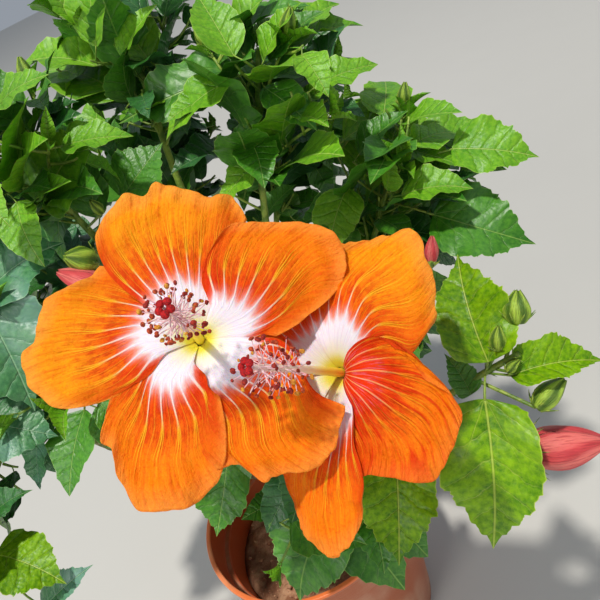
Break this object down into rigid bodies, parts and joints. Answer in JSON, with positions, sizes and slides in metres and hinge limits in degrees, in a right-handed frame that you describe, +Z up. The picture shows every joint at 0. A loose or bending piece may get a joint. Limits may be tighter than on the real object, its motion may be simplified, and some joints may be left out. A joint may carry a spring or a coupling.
{
  "type": "potted hibiscus shrub",
  "caption": "Bushy flowering shrub in a round nursery pot, with leafy shoots on slender boughs, large open orange blooms facing front and buds beside them.",
  "frame": {"origin": "middle of the pot's flat underside", "axes": "+Z up along the pot's axis; -Y is the side that the two blooms face; +X is to the right of a viewer who faces them"},
  "size_m": [0.5083, 0.485, 0.6363],
  "materials": {
    "pot": "moulded, slightly dusty satin, terracotta colour",
    "soil": "dry cracked clay soil, matt",
    "bark": "grey-brown young bark with fine cracks and pores",
    "bough": "green to brown shoot skin, satin",
    "leaf": "glossy green blade with paler veins",
    "bloom": "satin orange petal with a white eye"
  },
  "bodies": {
    "root": {"pot": "pot", "soil": "soil", "main_stem": "bark", "bough_low_back": "bough", "bough_low_right": "bough", "bough_low_left": "bough", "bough_front_low": "bough", "bough_front_right": "bough", "bough_back_right": "bough", "bough_back_left": "bough", "bough_right": "bough", "bough_left": "bough", "bough_bloom_right": "bough", "bough_back": "bough", "bough_front_left": "bough", "bough_bloom_left": "bough", "bough_upper_right": "bough", "bough_upper_left": "bough", "bough_top": "bough", "bloom_left": "bloom", "bloom_right": "bloom", "foliage_front_right": "leaf", "foliage_front_low": "leaf", "foliage_low_left": "leaf", "foliage_low_back": "leaf", "foliage_low_right": "leaf", "foliage_front_left": "leaf", "foliage_left": "leaf", "foliage_back_left": "leaf", "foliage_back": "leaf", "foliage_back_right": "leaf", "foliage_right": "leaf", "foliage_upper_right": "leaf", "foliage_upper_left": "leaf", "foliage_top": "leaf"}
  },
  "joints": []
}
